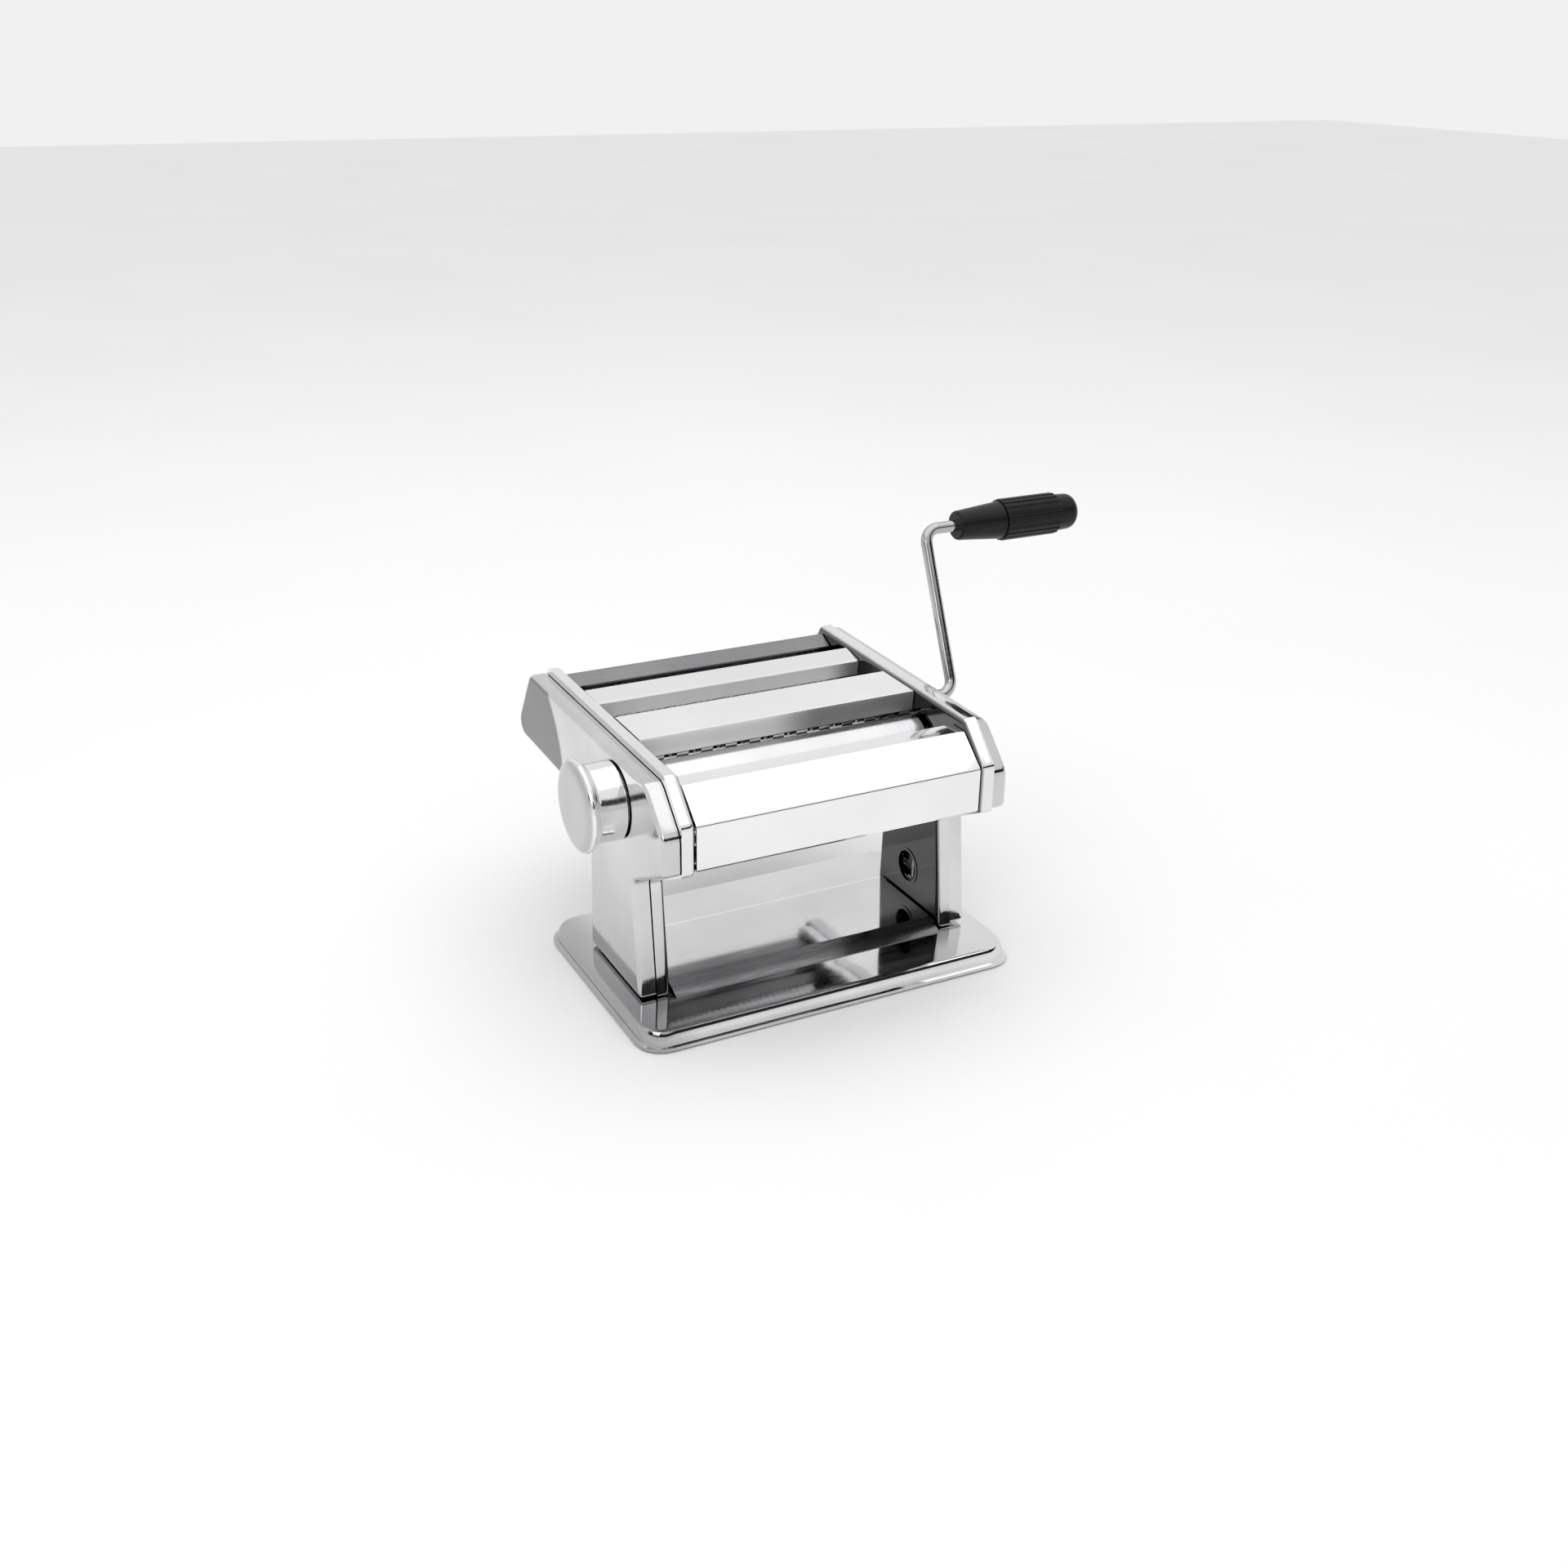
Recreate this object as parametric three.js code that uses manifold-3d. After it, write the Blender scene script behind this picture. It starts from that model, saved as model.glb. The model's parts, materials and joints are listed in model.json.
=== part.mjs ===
// Pasta roller machine: a pair of smooth sheet rollers and two pairs of noodle cutters between
// two pressed steel side frames that stand on a weighted base, with a crank and a thickness knob.
// Millimetres. +X points to the crank side, -Y to the front where the dough goes in, +Z up.
// The origin is on the table, under the middle of the base.
import * as THREE from "three";
import { mergeVertices } from "three/addons/utils/BufferGeometryUtils.js";
import Module from "manifold-3d";

const wasm = await Module();
wasm.setup();

// ---------- Driving dimensions ----------

const SHEET = 1.2; // wall of the pressed steel parts
const GAP = 0.3; // room between pieces that touch
const CRANK_SIDE = 1;
const KNOB_SIDE = -1;

const FRAME_WEB = 77; // inner face of each side frame
const FRAME_EDGE = 84.3; // free edge of the frame's rolled-out flange
const COVER_EDGE = 84.7; // free edge of the outer cover
const COVER_FACE = 93.4; // outer face of the outer cover
const COVER_EDGE_RADIUS = 2.6;
const FRAME_BEND = 3; // radius between the frame's web and its flange
const FRAME_LIP = 2.6; // the flange's free edge turns inwards by this much
const PANEL_HALF = FRAME_WEB - 0.4; // half the length of what spans the frames

const BASE_TOP = 10;
const PLATEAU_TOP = 15;
const LEG_FOOT = BASE_TOP + 0.4;

const ROLLER_HALF = 75;
const ROLLER_RADIUS = 14;
const SMOOTH_JOURNAL = 6;
const FIXED_AXIS = { y: -37.5, z: 110.4 };
const MOVING_AXIS = { y: -6.5, z: 108.2 }; // at the widest gap
const GAP_TRAVEL = 2.7; // how far the regulator closes the gap
const HOLLOW_BORE = 6.4;
const HOLLOW_JOURNAL = 8.5;

const REGULATOR_AXIS = { y: -7.8, z: 108.2 };
const REGULATOR_TURN = THREE.MathUtils.degToRad(324); // ten steps of 36 degrees
const REGULATOR_RADIUS = 4;
const CAM_RADIUS = 8;

const CUTTER_JOURNAL = 4.2;
const WIDE_Z = 112;
const WIDE_FRONT = { y: 35.1, z: WIDE_Z };
const WIDE_REAR = { y: 53.7, z: WIDE_Z };
const WIDE_PITCH = 13.6; // one noodle on each roller
const WIDE_DISC = 9.8;
const FIRST_DISC = -69.6; // middle of the front roller's first disc
const WIDE_CORE = 6.8;
const FINE_Z = 118;
const FINE_FRONT = { y: 72.2, z: FINE_Z };
const FINE_REAR = { y: 89.8, z: FINE_Z };
const FINE_MEAN = 8.6; // mean radius over the fine discs and grooves

const SOCKET_BORE = 3.7;
const SOCKET_FLAT = 2.6; // half the distance between the bore's two flats
const SOCKET_RADIUS = 5.8;
const SOCKET_END = 92.2;
const STUB = 2.2; // how far a driven roller's end reaches into its socket

const KNOB_NECK = 19.6;
const KNOB_RIM = 23;
const KNOB_OPEN = -94.6;
const KNOB_FRONT = -115;

const CRANK_ROD = 3.2;
const CRANK_FLAT = 2.25; // half the distance between the flats at the rod's end
const CRANK_PLANE = 124; // where the arm swings
const CRANK_ARM = 90.4;
const CRANK_LEAN = THREE.MathUtils.degToRad(24);
const CRANK_BEND = 8;
const GRIP_START = 144;
const SLEEVE_START = 172.5;
const SLEEVE_END = 208.5;
const GRIP_END = 221.6;
const GRIP_AXIS = {
  y: WIDE_FRONT.y + CRANK_ARM * Math.sin(CRANK_LEAN),
  z: WIDE_FRONT.z + CRANK_ARM * Math.cos(CRANK_LEAN),
};

const ROUND_SIDES = 24;
const SMALL_SIDES = 16;
const ARC_STEP = Math.PI / 9;

// ---------- Materials ----------

const finish = (color, roughness, metalness) =>
  new THREE.MeshStandardMaterial({ color, roughness, metalness });
const mirrorSteel = finish(0xdfe1e3, 0.06, 1);
const greySteel = finish(0x9a9c9e, 0.22, 1);
const rollerSteel = finish(0xc9cbcd, 0.15, 1);
const gearSteel = finish(0x7d7f82, 0.4, 1);
const crankSteel = finish(0xb9bbbd, 0.12, 1);
const blackPlastic = finish(0x141414, 0.25, 0);
const blackRubber = finish(0x1b1b1b, 0.8, 0);
const bushPlastic = finish(0xe4e2da, 0.5, 0);

// ---------- Solids ----------

// A closed geometry as a solid whose faces point outwards.
function solidFrom(geometry) {
  const bare = geometry.index ? geometry.toNonIndexed() : geometry.clone();
  bare.deleteAttribute("normal");
  bare.deleteAttribute("uv");
  const merged = mergeVertices(bare, 1e-4);
  const corners = Array.from(merged.index.array);
  const triangles = [];
  for (let i = 0; i < corners.length; i += 3) {
    const [a, b, c] = corners.slice(i, i + 3);
    if (a !== b && b !== c && c !== a) triangles.push(a, b, c);
  }
  const build = (list) =>
    new wasm.Manifold(
      new wasm.Mesh({
        numProp: 3,
        vertProperties: merged.attributes.position.array,
        triVerts: new Uint32Array(list),
      }),
    );
  const solid = build(triangles);
  return solid.volume() > 0 ? solid : build(triangles.reverse());
}

function meshFrom(name, solid, material, place = {}) {
  const { numProp, vertProperties, triVerts } = solid.getMesh();
  const positions = [];
  for (let i = 0; i < vertProperties.length; i += numProp) {
    positions.push(...vertProperties.subarray(i, i + 3));
  }
  const geometry = new THREE.BufferGeometry();
  geometry.setAttribute("position", new THREE.Float32BufferAttribute(positions, 3));
  geometry.setIndex(Array.from(triVerts));
  geometry.computeVertexNormals();
  const mesh = new THREE.Mesh(geometry, material);
  mesh.name = name;
  mesh.position.set(place.x ?? 0, place.y ?? 0, place.z ?? 0);
  return mesh;
}

function box([x0, x1], [y0, y1], [z0, z1]) {
  const geometry = new THREE.BoxGeometry(Math.abs(x1 - x0), y1 - y0, z1 - z0);
  geometry.translate((x0 + x1) / 2, (y0 + y1) / 2, (z0 + z1) / 2);
  return solidFrom(geometry);
}

// An outline in the Y-Z plane, drawn out along X between two stations in either order.
const ALONG_X = new THREE.Matrix4().makeBasis(
  new THREE.Vector3(0, 1, 0),
  new THREE.Vector3(0, 0, 1),
  new THREE.Vector3(1, 0, 0),
);

function prism(outline, xa, xb) {
  const depth = Math.abs(xb - xa);
  const shape = new THREE.Shape(outline);
  const geometry = new THREE.ExtrudeGeometry(shape, { depth, bevelEnabled: false });
  geometry.applyMatrix4(ALONG_X);
  geometry.translate(Math.min(xa, xb), 0, 0);
  return solidFrom(geometry);
}

// A profile of [x, radius] points turned about an axis along X.
const LATHE_TO_X = new THREE.Matrix4().makeBasis(
  new THREE.Vector3(0, 1, 0),
  new THREE.Vector3(1, 0, 0),
  new THREE.Vector3(0, 0, -1),
);

function turned(profile, sides = ROUND_SIDES, axis = { y: 0, z: 0 }) {
  const points = profile.map(([x, radius]) => new THREE.Vector2(radius, x));
  const geometry = new THREE.LatheGeometry(points, sides);
  geometry.applyMatrix4(LATHE_TO_X);
  geometry.translate(0, axis.y, axis.z);
  return solidFrom(geometry);
}

const rod = (radius, xa, xb, sides, axis) =>
  turned([[xa, 0], [xa, radius], [xb, radius], [xb, 0]], sides, axis);

const tube = (outer, inner, xa, xb, sides, axis) =>
  turned([[xa, inner], [xa, outer], [xb, outer], [xb, inner], [xa, inner]], sides, axis);

// ---------- Outlines ----------

const point = (y, z) => new THREE.Vector2(y, z);

// Corners given as [y, z, radius], with each corner turned into an arc.
function rounded(corners) {
  return corners.flatMap(([y, z, radius], i) => {
    const corner = point(y, z);
    const before = corners.at(i - 1);
    const after = corners[(i + 1) % corners.length];
    const back = point(before[0], before[1]).sub(corner).normalize();
    const on = point(after[0], after[1]).sub(corner).normalize();
    const half = Math.acos(THREE.MathUtils.clamp(back.dot(on), -1, 1)) / 2;
    const middle = back.clone().add(on).normalize();
    const centre = corner.clone().addScaledVector(middle, radius / Math.sin(half));
    const start = corner.clone().addScaledVector(back, radius / Math.tan(half));
    const end = corner.clone().addScaledVector(on, radius / Math.tan(half));
    const from = start.sub(centre).angle();
    let sweep = end.sub(centre).angle() - from;
    if (sweep > Math.PI) sweep -= 2 * Math.PI;
    if (sweep < -Math.PI) sweep += 2 * Math.PI;
    const steps = Math.max(1, Math.round((Math.PI - 2 * half) / ARC_STEP));
    return Array.from({ length: steps + 1 }, (_, k) => {
      const angle = from + (sweep * k) / steps;
      return point(centre.x + radius * Math.cos(angle), centre.y + radius * Math.sin(angle));
    });
  });
}

// The same corners moved inwards; the outline runs counter-clockwise.
function inset(corners, distance) {
  const SMALLEST = 0.3;
  return corners.map(([y, z, radius], i) => {
    const corner = point(y, z);
    const before = corners.at(i - 1);
    const after = corners[(i + 1) % corners.length];
    const into = corner.clone().sub(point(before[0], before[1])).normalize();
    const out = point(after[0], after[1]).sub(corner).normalize();
    const normal = point(-into.y, into.x);
    const next = point(-out.y, out.x);
    const scale = distance / (1 + normal.dot(next));
    const moved = corner.addScaledVector(normal.add(next), scale);
    const convex = into.cross(out) > 0;
    const newRadius = convex ? Math.max(radius - distance, SMALLEST) : radius + distance;
    return [moved.x, moved.y, newRadius];
  });
}

const circle = (radius, sides) =>
  Array.from({ length: sides }, (_, k) => {
    const angle = (2 * Math.PI * k) / sides;
    return point(radius * Math.cos(angle), radius * Math.sin(angle));
  });

// A bent strip of sheet: the path is its outer face, and the sheet lies on the path's right.
function strip(path, thickness = SHEET) {
  const inner = path.map(([y, z], i) => {
    const into = i ? point(y - path[i - 1][0], z - path[i - 1][1]).normalize() : null;
    const last = i === path.length - 1;
    const out = last ? null : point(path[i + 1][0] - y, path[i + 1][1] - z).normalize();
    const a = into ?? out;
    const b = out ?? into;
    const normal = point(a.y, -a.x).add(point(b.y, -b.x));
    return point(y, z).addScaledVector(normal, thickness / (1 + a.dot(b)));
  });
  return [...path.map(([y, z]) => point(y, z)), ...inner.reverse()];
}

// Outlines of equal length at successive stations, joined by walls and closed by two caps.
function loft(rings, toSpace) {
  const count = rings[0].outline.length;
  const vertices = rings.flatMap(({ at, outline }) => outline.map((p) => toSpace(p, at)));
  const faces = [];
  for (let ring = 0; ring < rings.length - 1; ring += 1) {
    for (let k = 0; k < count; k += 1) {
      const a = ring * count + k;
      const b = ring * count + ((k + 1) % count);
      faces.push(a, b, b + count, a, b + count, a + count);
    }
  }
  const lastRing = (rings.length - 1) * count;
  const cap = (outline) => THREE.ShapeUtils.triangulateShape(outline, []);
  cap(rings[0].outline).forEach(([a, b, c]) => faces.push(c, b, a));
  cap(rings.at(-1).outline).forEach(([a, b, c]) => {
    faces.push(a + lastRing, b + lastRing, c + lastRing);
  });
  const geometry = new THREE.BufferGeometry().setFromPoints(vertices);
  geometry.setIndex(faces);
  return solidFrom(geometry);
}

const stationX = (p, x) => new THREE.Vector3(x, p.x, p.y);
const stationZ = (p, z) => new THREE.Vector3(p.x, p.y, z);

// ---------- Base ----------

const rectangle = (halfX, halfY, radius) => [
  [halfX, -halfY, radius],
  [halfX, halfY, radius],
  [-halfX, halfY, radius],
  [-halfX, -halfY, radius],
];

function basePlate() {
  const CORNER = 14;
  const step = (at, halfX, halfY) => ({ at, outline: rounded(rectangle(halfX, halfY, CORNER)) });
  const shell = loft(
    [
      step(0.8, 104.9, 67.9),
      step(2.4, 104.9, 67.9),
      step(2.9, 103.4, 66.4),
      step(7.2, 103.0, 65.6),
      step(9.3, 102.2, 64.4),
      step(BASE_TOP, 100.6, 62.4),
    ],
    stationZ,
  );
  const hollow = loft([step(0, 101.6, 64), step(BASE_TOP - SHEET, 101.2, 63.4)], stationZ);
  const plateau = [
    [-40, BASE_TOP - 0.6, 0.5],
    [27.6, BASE_TOP - 0.6, 0.5],
    [26.4, PLATEAU_TOP - 1, 1],
    [23, PLATEAU_TOP, 2],
    [-27.6, PLATEAU_TOP, 2],
  ];
  const PLATEAU_HALF = 75.8;
  const under = inset(plateau, SHEET).map(([y, z, r]) => [y, Math.max(z, BASE_TOP - 3), r]);
  under[0][1] = BASE_TOP - 3;
  under[1][1] = BASE_TOP - 3;
  const raised = prism(rounded(plateau), -PLATEAU_HALF, PLATEAU_HALF);
  const pressed = prism(rounded(under), SHEET - PLATEAU_HALF, PLATEAU_HALF - SHEET);
  return meshFrom("base_plate", shell.subtract(hollow).add(raised).subtract(pressed), mirrorSteel);
}

function baseMat() {
  const outline = rounded(rectangle(100.4, 62.6, 12));
  const height = BASE_TOP - SHEET - GAP;
  const mat = loft([{ at: 0, outline }, { at: height, outline }], stationZ);
  return meshFrom("base_mat", mat, blackRubber);
}

// ---------- Side frames and covers ----------

// The side of a frame seen from the crank side, counter-clockwise from the front of the foot.
const frameOutline = [
  [-34.6, LEG_FOOT, 1.5],
  [29.5, LEG_FOOT, 1.5],
  [25.5, 91.4, 9],
  [131.6, 95.2, 8],
  [104.1, 136.3, 3],
  [-47.2, 133.8, 4.5],
  [-66, 115.2, 5],
  [-66, 90.4, 2.5],
  [-28.2, 71.6, 3],
];

// The side of a cover: lower than the frame at the top, and a little longer at the rear.
const coverOutline = [
  [-33.6, LEG_FOOT + 0.8, 1.5],
  [31, LEG_FOOT + 0.8, 1.5],
  [26, 90.2, 9],
  [134.6, 93.6, 8],
  [109.4, 132.7, 6],
  [-44.8, 130.3, 8],
  [-64.7, 110.6, 8],
  [-64.7, 91.4, 2.5],
  [-27.1, 72.8, 4],
];

const CLAMP_HOLE = { radius: 8.5, rim: 10.2, y: -1.2, z: 32.7 };
const SMOOTH_BUSH = 9;
const CUTTER_BUSH = 6.8;
const REGULATOR_HOLE = 6.6;
const SOCKET_HOLE = 7;

const cutterAxes = [WIDE_FRONT, WIDE_REAR, FINE_FRONT, FINE_REAR];
const socketAxes = [FIXED_AXIS, WIDE_FRONT, FINE_REAR];

// The rings of an edge that turns from a flat face at faceX to walls that run back from it.
// towards is 1 when the walls lie at greater |X| than the face, and -1 when they lie at less.
function roundedEdge(outline, side, faceX, radius, towards) {
  const STEPS = 3;
  return Array.from({ length: STEPS + 1 }, (_, k) => {
    const angle = (Math.PI * k) / (2 * STEPS);
    return {
      at: side * (faceX + towards * radius * (1 - Math.cos(angle))),
      outline: rounded(inset(outline, radius * (1 - Math.sin(angle)))),
    };
  });
}

function sideFrame(name, side) {
  const web = FRAME_WEB;
  const outer = loft(
    [
      ...roundedEdge(frameOutline, side, web, FRAME_BEND, 1),
      { at: side * FRAME_EDGE, outline: rounded(inset(frameOutline, 0)) },
    ],
    stationX,
  );
  const within = inset(frameOutline, SHEET);
  const inner = loft(
    [
      ...roundedEdge(within, side, web + SHEET, FRAME_BEND - SHEET, 1),
      { at: side * (FRAME_EDGE - SHEET), outline: rounded(inset(within, 0)) },
    ],
    stationX,
  );
  const mouth = rounded(inset(frameOutline, SHEET + FRAME_LIP));
  const opening = loft(
    [
      { at: side * (FRAME_EDGE - 2 * SHEET), outline: mouth },
      { at: side * (FRAME_EDGE + 1), outline: mouth },
    ],
    stationX,
  );
  let frame = outer.subtract(inner).subtract(opening);
  const [near, far] = [side * (web - 1), side * (web + SHEET + 1)];
  const drill = (radius, axis) => {
    frame = frame.subtract(rod(radius, near, far, ROUND_SIDES, axis));
  };
  if (side === CRANK_SIDE) {
    frame = frame.add(rod(CLAMP_HOLE.rim, web - 0.4, web + SHEET / 2, ROUND_SIDES, CLAMP_HOLE));
    drill(CLAMP_HOLE.radius, CLAMP_HOLE);
  }
  drill(SMOOTH_BUSH + GAP, FIXED_AXIS);
  cutterAxes.forEach((axis) => drill(CUTTER_BUSH + GAP, axis));
  const room = HOLLOW_JOURNAL + 0.9;
  const slot = box(
    [near, far],
    [MOVING_AXIS.y - GAP_TRAVEL - room, MOVING_AXIS.y + room],
    [MOVING_AXIS.z - room, MOVING_AXIS.z + room],
  );
  return meshFrom(name, frame.subtract(slot), mirrorSteel);
}

function sideCover(name, side) {
  const shell = loft(
    [
      ...roundedEdge(coverOutline, side, COVER_FACE, COVER_EDGE_RADIUS, -1),
      { at: side * COVER_EDGE, outline: rounded(inset(coverOutline, 0)) },
    ],
    stationX,
  );
  const within = inset(coverOutline, SHEET);
  const hollow = loft(
    [
      ...roundedEdge(within, side, COVER_FACE - SHEET, COVER_EDGE_RADIUS - SHEET, -1),
      { at: side * (COVER_EDGE - 1), outline: rounded(inset(within, 0)) },
    ],
    stationX,
  );
  let cover = shell.subtract(hollow);
  const [near, far] = [side * (COVER_FACE - 3), side * (COVER_FACE + 1)];
  const drill = (radius, axis) => {
    cover = cover.subtract(rod(radius, near, far, ROUND_SIDES, axis));
  };
  if (side === CRANK_SIDE) socketAxes.forEach((axis) => drill(SOCKET_HOLE, axis));
  else drill(REGULATOR_HOLE, REGULATOR_AXIS);
  return meshFrom(name, cover, mirrorSteel);
}

// ---------- Panels and tie rods between the frames ----------

const acrossFrames = (name, outline, material) =>
  meshFrom(name, prism(outline, -PANEL_HALF, PANEL_HALF), material);

function panels() {
  const front = [
    [-54, 92.4],
    [-64.4, 91],
    [-65.4, 92.4],
    [-65.6, 113.4],
    [-64.8, 115],
    [-49.6, 128.1],
    [-48.4, 128.5],
    [-38, 128.5],
  ];
  const centre = [
    [0.4, 122.6],
    [-0.6, 131.6],
    [0, 133.1],
    [30.8, 133.6],
    [31.6, 132.6],
    [31.9, 125.6],
  ];
  const narrow = [
    [58.4, 122.6],
    [57.2, 130.6],
    [57.9, 131.5],
    [71.4, 133.7],
    [72.2, 132.9],
    [71.8, 129.4],
  ];
  const rear = [
    [89.6, 129.1],
    [98.8, 133.2],
    [100.4, 132.8],
    [121.6, 106.2],
    [122.2, 103.4],
    [119.8, 101.4],
    [106, 100.9],
  ];
  return [
    acrossFrames("front_panel", strip(front), mirrorSteel),
    acrossFrames("centre_panel", strip(centre), mirrorSteel),
    acrossFrames("narrow_strip", strip(narrow), mirrorSteel),
    acrossFrames("rear_panel", strip(rear), greySteel),
  ];
}

function tieRods() {
  const RADIUS = 3;
  const rods = { front_tie_rod: { y: -57.5, z: 98 }, rear_tie_rod: { y: 110, z: 108 } };
  return Object.entries(rods).map(([name, place]) =>
    meshFrom(name, rod(RADIUS, -PANEL_HALF, PANEL_HALF, SMALL_SIDES), crankSteel, place),
  );
}

// ---------- Rollers, gears and bushes ----------

const BUSH_INNER_END = 75.6;
const BUSH_OUTER_END = 79.4;
const LEFT_JOURNAL_END = -80.2;
const SMOOTH_GEAR = { from: 81.6, to: 85.8, teeth: 10, root: 11.6, tip: 16.2 };
const WIDE_GEAR = { from: 80, to: 84, teeth: 12, root: 7.6, tip: 10.6 };
const FINE_GEAR = { from: 84.6, to: 88.4, teeth: 12, root: 7.2, tip: 10 };

function bush(name, side, radius, bore, place) {
  const ring = tube(radius, bore, side * BUSH_INNER_END, side * BUSH_OUTER_END, SMALL_SIDES);
  return meshFrom(name, ring, bushPlastic, place);
}

const bushPair = (name, radius, bore, place) => [
  bush("left_" + name, KNOB_SIDE, radius, bore, place),
  bush("right_" + name, CRANK_SIDE, radius, bore, place),
];

function bushes() {
  const cutterBore = CUTTER_JOURNAL + 2 * GAP;
  return [
    ...bushPair("roller_bush", SMOOTH_BUSH, SMOOTH_JOURNAL + 2 * GAP, FIXED_AXIS),
    ...bushPair("wide_front_bush", CUTTER_BUSH, cutterBore, WIDE_FRONT),
    ...bushPair("wide_rear_bush", CUTTER_BUSH, cutterBore, WIDE_REAR),
    ...bushPair("fine_front_bush", CUTTER_BUSH, cutterBore, FINE_FRONT),
    ...bushPair("fine_rear_bush", CUTTER_BUSH, cutterBore, FINE_REAR),
  ];
}

// Slender teeth, so that a pair stays in mesh as the rollers move apart.
function gear(name, { from, to, teeth, root, tip }, bore, place, turn) {
  const pitch = (2 * Math.PI) / teeth;
  const atRoot = 0.24 * pitch;
  const atTip = 0.08 * pitch;
  const outline = [];
  for (let k = 0; k < teeth; k += 1) {
    const middle = k * pitch + turn;
    [[root, -atRoot], [tip, -atTip], [tip, atTip], [root, atRoot]].forEach(([radius, offset]) => {
      const angle = middle + offset;
      outline.push(point(radius * Math.cos(angle), radius * Math.sin(angle)));
    });
  }
  const blank = prism(outline, from, to);
  const drilled = blank.subtract(rod(bore, from - 1, to + 1, SMALL_SIDES));
  return meshFrom(name, drilled, gearSteel, place);
}

// The tooth of the front gear points along the line of centres, between two teeth of the rear one.
function gearPair([frontName, rearName], size, bores, frontAxis, rearAxis) {
  const line = Math.atan2(rearAxis.z - frontAxis.z, rearAxis.y - frontAxis.y);
  return [
    gear(frontName, size, bores[0], frontAxis, line),
    gear(rearName, size, bores[1], rearAxis, line + Math.PI / size.teeth),
  ];
}

function gears() {
  const cutterBore = CUTTER_JOURNAL + GAP;
  return [
    ...gearPair(
      ["fixed_roller_gear", "adjustable_roller_gear"],
      SMOOTH_GEAR,
      [SMOOTH_JOURNAL + GAP, HOLLOW_JOURNAL + GAP],
      FIXED_AXIS,
      MOVING_AXIS,
    ),
    ...gearPair(
      ["wide_front_gear", "wide_rear_gear"],
      WIDE_GEAR,
      [cutterBore, cutterBore],
      WIDE_FRONT,
      WIDE_REAR,
    ),
    ...gearPair(
      ["fine_front_gear", "fine_rear_gear"],
      FINE_GEAR,
      [cutterBore, cutterBore],
      FINE_FRONT,
      FINE_REAR,
    ),
  ];
}

// A sleeve over the end of a driven roller, with two flats for the end of the crank.
function socket(name, gearSize, place) {
  const from = gearSize.to + GAP;
  const stubEnd = gearSize.to + STUB + GAP;
  const sleeve = rod(SOCKET_RADIUS, from, SOCKET_END, SMALL_SIDES);
  const seat = rod(CUTTER_JOURNAL + GAP, from - 1, stubEnd, SMALL_SIDES);
  const round = rod(SOCKET_BORE, stubEnd - 1, SOCKET_END + 1, SMALL_SIDES);
  const flats = box(
    [stubEnd - 1, SOCKET_END + 1],
    [-SOCKET_FLAT, SOCKET_FLAT],
    [-SOCKET_RADIUS, SOCKET_RADIUS],
  );
  return meshFrom(name, sleeve.subtract(seat).subtract(round.intersect(flats)), gearSteel, place);
}

const sockets = () => [
  socket("fixed_roller_socket", SMOOTH_GEAR, FIXED_AXIS),
  socket("wide_cutter_socket", WIDE_GEAR, WIDE_FRONT),
  socket("fine_cutter_socket", FINE_GEAR, FINE_REAR),
];

function smoothRollers() {
  const EDGE = 0.8;
  const stubStart = SMOOTH_GEAR.to;
  const fixed = turned([
    [LEFT_JOURNAL_END, 0],
    [LEFT_JOURNAL_END, SMOOTH_JOURNAL],
    [-ROLLER_HALF, SMOOTH_JOURNAL],
    [-ROLLER_HALF, ROLLER_RADIUS - EDGE],
    [EDGE - ROLLER_HALF, ROLLER_RADIUS],
    [ROLLER_HALF - EDGE, ROLLER_RADIUS],
    [ROLLER_HALF, ROLLER_RADIUS - EDGE],
    [ROLLER_HALF, SMOOTH_JOURNAL],
    [stubStart, SMOOTH_JOURNAL],
    [stubStart, CUTTER_JOURNAL],
    [stubStart + STUB, CUTTER_JOURNAL],
    [stubStart + STUB, 0],
  ]);
  const [left, right] = [-81.4, SMOOTH_GEAR.to + GAP];
  const hollow = turned([
    [left, HOLLOW_BORE],
    [left, HOLLOW_JOURNAL],
    [-ROLLER_HALF, HOLLOW_JOURNAL],
    [-ROLLER_HALF, ROLLER_RADIUS - EDGE],
    [EDGE - ROLLER_HALF, ROLLER_RADIUS],
    [ROLLER_HALF - EDGE, ROLLER_RADIUS],
    [ROLLER_HALF, ROLLER_RADIUS - EDGE],
    [ROLLER_HALF, HOLLOW_JOURNAL],
    [right, HOLLOW_JOURNAL],
    [right, HOLLOW_BORE],
    [left, HOLLOW_BORE],
  ]);
  return [
    meshFrom("fixed_roller", fixed, rollerSteel, FIXED_AXIS),
    meshFrom("adjustable_roller", hollow, rollerSteel, MOVING_AXIS),
  ];
}

// Discs with grooves between them; the other roller's discs run in the grooves.
function wideCutter(name, place, firstDisc, end) {
  const DISC_HALF = WIDE_PITCH / 4 - 0.1;
  const profile = [[LEFT_JOURNAL_END, 0], [LEFT_JOURNAL_END, CUTTER_JOURNAL]];
  profile.push([-ROLLER_HALF, CUTTER_JOURNAL], [-ROLLER_HALF, WIDE_CORE]);
  for (let x = firstDisc; x < ROLLER_HALF - DISC_HALF; x += WIDE_PITCH) {
    profile.push([x - DISC_HALF, WIDE_CORE], [x - DISC_HALF, WIDE_DISC]);
    profile.push([x + DISC_HALF, WIDE_DISC], [x + DISC_HALF, WIDE_CORE]);
  }
  profile.push([ROLLER_HALF, WIDE_CORE], [ROLLER_HALF, CUTTER_JOURNAL]);
  profile.push([end, CUTTER_JOURNAL], [end, 0]);
  return meshFrom(name, turned(profile, SMALL_SIDES), rollerSteel, place);
}

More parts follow.
